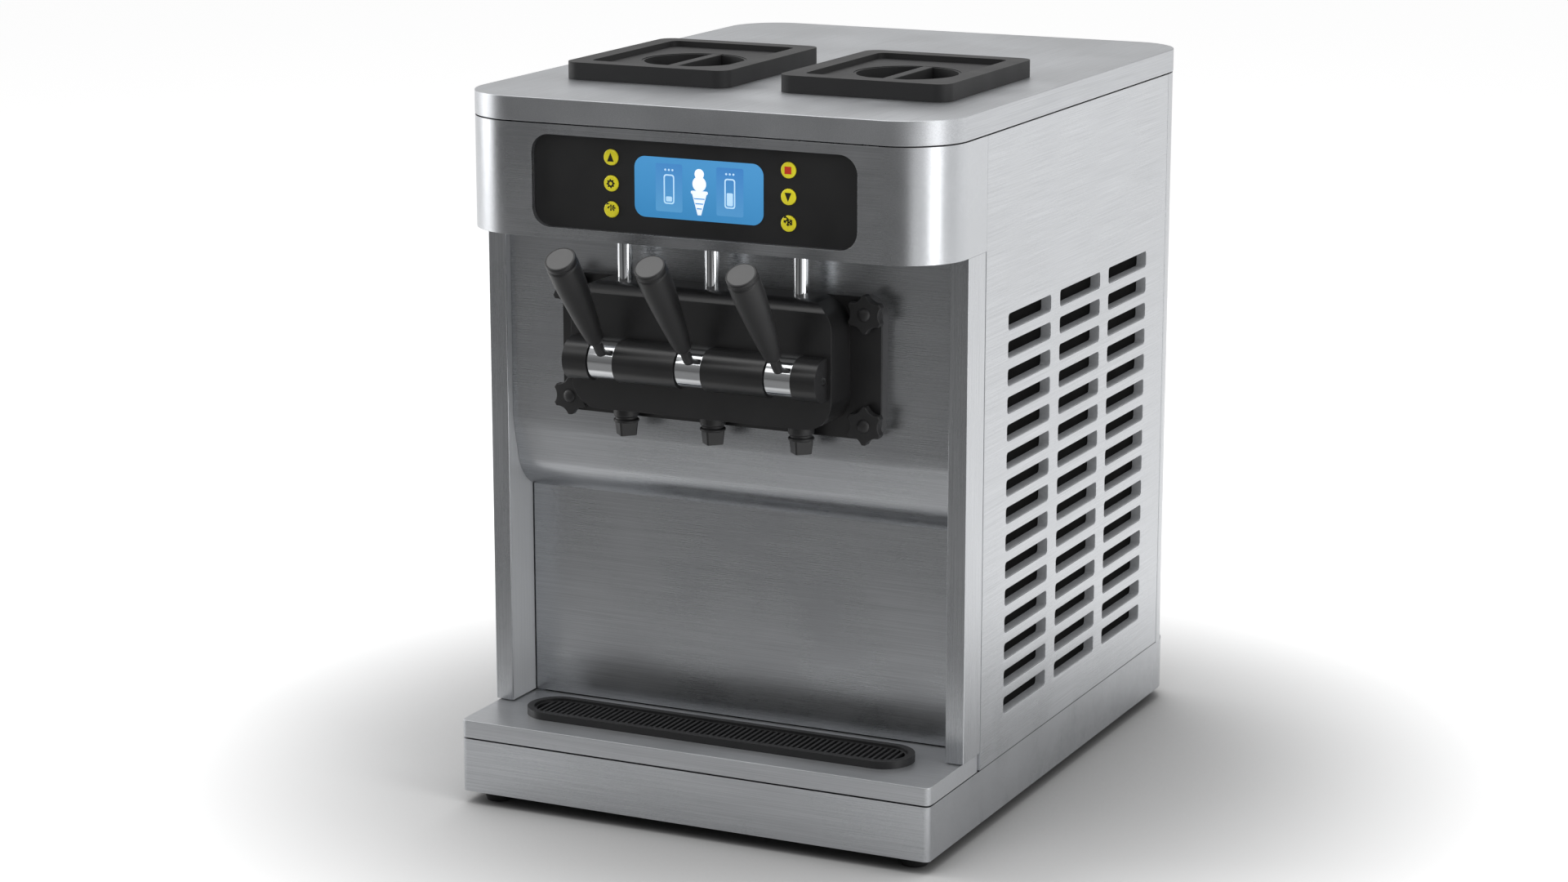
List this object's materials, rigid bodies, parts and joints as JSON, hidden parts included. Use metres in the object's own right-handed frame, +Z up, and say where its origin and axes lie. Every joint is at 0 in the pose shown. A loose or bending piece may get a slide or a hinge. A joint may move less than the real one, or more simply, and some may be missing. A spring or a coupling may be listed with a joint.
{
  "type": "ice cream maker",
  "caption": "Table-top soft-serve ice cream machine in brushed steel with lever valves, hopper lids, a lit control panel and a drip tray",
  "frame": {"origin": "middle of the bounding box, on the plane that the feet stand on", "axes": "+X to the machine's right as seen from the front, +Y to its back, +Z up"},
  "size_m": [0.5468, 0.8074, 0.778],
  "materials": {
    "brushed_steel": "fine horizontal brushing",
    "chrome": "polished",
    "black_plastic": "satin",
    "lid_plastic": "matte",
    "tray_plastic": "satin",
    "panel_black": "matte",
    "screen_glass": "lit display behind glass",
    "button_yellow": "printed disc",
    "foot_rubber": "matte",
    "seal_rubber": "food grade",
    "zinc_steel": "zinc coated",
    "board_green": "solder mask",
    "beater_plastic": "food grade",
    "gearbox_paint": "painted casting",
    "motor_paint": "satin black",
    "condenser_alloy": "rolled fins",
    "fan_plastic": "moulded",
    "inlet_plastic": "moulded",
    "silicone": "translucent"
  },
  "bodies": {
    "root": {"base_plinth": "brushed_steel", "chassis_frame": "zinc_steel", "compressor": "motor_paint", "condenser": "condenser_alloy", "control_board": "board_green", "control_panel": "panel_black", "display_screen": "screen_glass", "drive_motor_left": "motor_paint", "drive_motor_right": "motor_paint", "fan_motor": "motor_paint", "fascia": "brushed_steel", "feed_tubes": "silicone", "freezing_barrel_left": "brushed_steel", "freezing_barrel_right": "brushed_steel", "front_shelf": "brushed_steel", "gearbox_left": "gearbox_paint", "gearbox_right": "gearbox_paint", "head_seals": "seal_rubber", "head_studs": "brushed_steel", "hopper_left": "brushed_steel", "hopper_right": "brushed_steel", "lever_shaft": "brushed_steel", "outlet_nozzles": "black_plastic", "pillar_left": "brushed_steel", "pillar_right": "brushed_steel", "power_inlet": "inlet_plastic", "rear_panel": "brushed_steel", "rubber_feet": "foot_rubber", "side_panel_left": "brushed_steel", "side_panel_right": "brushed_steel", "splash_panel": "brushed_steel", "top_cover": "brushed_steel", "upper_front_panel": "brushed_steel", "valve_body": "black_plastic"},
    "lever_left": {"lever_grip_left": "black_plastic", "lever_collar_left": "chrome"},
    "valve_rod_left": {"plunger_left": "chrome"},
    "lever_middle": {"lever_grip_middle": "black_plastic", "lever_collar_middle": "chrome"},
    "valve_rod_middle": {"plunger_middle": "chrome"},
    "lever_right": {"lever_grip_right": "black_plastic", "lever_collar_right": "chrome"},
    "valve_rod_right": {"plunger_right": "chrome"},
    "key_left_top": {"button_left_top": "button_yellow"},
    "key_left_middle": {"button_left_middle": "button_yellow"},
    "key_left_bottom": {"button_left_bottom": "button_yellow"},
    "key_right_top": {"button_right_top": "button_yellow"},
    "key_right_middle": {"button_right_middle": "button_yellow"},
    "key_right_bottom": {"button_right_bottom": "button_yellow"},
    "lid_left": {"hopper_lid_left": "lid_plastic"},
    "lid_right": {"hopper_lid_right": "lid_plastic"},
    "tray": {"drip_tray": "tray_plastic"},
    "grille": {"drip_grille": "tray_plastic"},
    "knob_left_lower": {"star_knob_left_lower": "black_plastic"},
    "knob_left_upper": {"star_knob_left_upper": "black_plastic"},
    "dasher_left": {"beater_left": "beater_plastic"},
    "knob_right_lower": {"star_knob_right_lower": "black_plastic"},
    "knob_right_upper": {"star_knob_right_upper": "black_plastic"},
    "dasher_right": {"beater_right": "beater_plastic"},
    "fan": {"fan_blade": "fan_plastic"}
  },
  "joints": [
    {"name": "lever_left_turn", "type": "hinge", "parent": "root", "child": "lever_left", "pos_m": [-0.1, -0.29187, 0.49275], "axis": [1, 0, 0], "range_deg": [0, 50]},
    {"name": "valve_rod_left_lift", "type": "slide", "parent": "root", "child": "valve_rod_left", "axis": [0, 0, 1], "range_m": [0, 0.02]},
    {"name": "lever_middle_turn", "type": "hinge", "parent": "root", "child": "lever_middle", "pos_m": [0, -0.29187, 0.49275], "axis": [1, 0, 0], "range_deg": [0, 50]},
    {"name": "valve_rod_middle_lift", "type": "slide", "parent": "root", "child": "valve_rod_middle", "axis": [0, 0, 1], "range_m": [0, 0.02]},
    {"name": "lever_right_turn", "type": "hinge", "parent": "root", "child": "lever_right", "pos_m": [0.1, -0.29187, 0.49275], "axis": [1, 0, 0], "range_deg": [0, 50]},
    {"name": "valve_rod_right_lift", "type": "slide", "parent": "root", "child": "valve_rod_right", "axis": [0, 0, 1], "range_m": [0, 0.02]},
    {"name": "key_left_top_press", "type": "slide", "parent": "root", "child": "key_left_top", "axis": [0, 1, 0], "range_m": [0, 0.0012], "stiffness_N_per_m": 150},
    {"name": "key_left_middle_press", "type": "slide", "parent": "root", "child": "key_left_middle", "axis": [0, 1, 0], "range_m": [0, 0.0012], "stiffness_N_per_m": 150},
    {"name": "key_left_bottom_press", "type": "slide", "parent": "root", "child": "key_left_bottom", "axis": [0, 1, 0], "range_m": [0, 0.0012], "stiffness_N_per_m": 150},
    {"name": "key_right_top_press", "type": "slide", "parent": "root", "child": "key_right_top", "axis": [0, 1, 0], "range_m": [0, 0.0012], "stiffness_N_per_m": 150},
    {"name": "key_right_middle_press", "type": "slide", "parent": "root", "child": "key_right_middle", "axis": [0, 1, 0], "range_m": [0, 0.0012], "stiffness_N_per_m": 150},
    {"name": "key_right_bottom_press", "type": "slide", "parent": "root", "child": "key_right_bottom", "axis": [0, 1, 0], "range_m": [0, 0.0012], "stiffness_N_per_m": 150},
    {"name": "lid_left_lift", "type": "slide", "parent": "root", "child": "lid_left", "axis": [0, 0, 1], "range_m": [0, 0.12]},
    {"name": "lid_right_lift", "type": "slide", "parent": "root", "child": "lid_right", "axis": [0, 0, 1], "range_m": [0, 0.12]},
    {"name": "tray_lift", "type": "slide", "parent": "root", "child": "tray", "axis": [0, 0, 1], "range_m": [0, 0.08]},
    {"name": "grille_lift", "type": "slide", "parent": "tray", "child": "grille", "axis": [0, 0, 1], "range_m": [0, 0.05]},
    {"name": "knob_left_lower_turn", "type": "hinge", "parent": "root", "child": "knob_left_lower", "pos_m": [-0.168, -0.24487, 0.441], "axis": [0, 1, 0], "continuous": true},
    {"name": "knob_left_upper_turn", "type": "hinge", "parent": "root", "child": "knob_left_upper", "pos_m": [-0.168, -0.24487, 0.555], "axis": [0, 1, 0], "continuous": true},
    {"name": "dasher_left_spin", "type": "hinge", "parent": "root", "child": "dasher_left", "pos_m": [-0.095, -0.12247, 0.494], "axis": [0, 1, 0], "continuous": true},
    {"name": "knob_right_lower_turn", "type": "hinge", "parent": "root", "child": "knob_right_lower", "pos_m": [0.168, -0.24487, 0.441], "axis": [0, 1, 0], "continuous": true},
    {"name": "knob_right_upper_turn", "type": "hinge", "parent": "root", "child": "knob_right_upper", "pos_m": [0.168, -0.24487, 0.555], "axis": [0, 1, 0], "continuous": true},
    {"name": "dasher_right_spin", "type": "hinge", "parent": "root", "child": "dasher_right", "pos_m": [0.095, -0.12247, 0.494], "axis": [0, 1, 0], "continuous": true},
    {"name": "fan_spin", "type": "hinge", "parent": "root", "child": "fan", "pos_m": [0.176, 0.07673, 0.239], "axis": [1, 0, 0], "continuous": true}
  ],
  "couplings": [
    {"joint": "valve_rod_left_lift", "follows": "lever_left_turn", "m_per_rad": 0.022917},
    {"joint": "valve_rod_middle_lift", "follows": "lever_middle_turn", "m_per_rad": 0.022917},
    {"joint": "valve_rod_right_lift", "follows": "lever_right_turn", "m_per_rad": 0.022917}
  ]
}
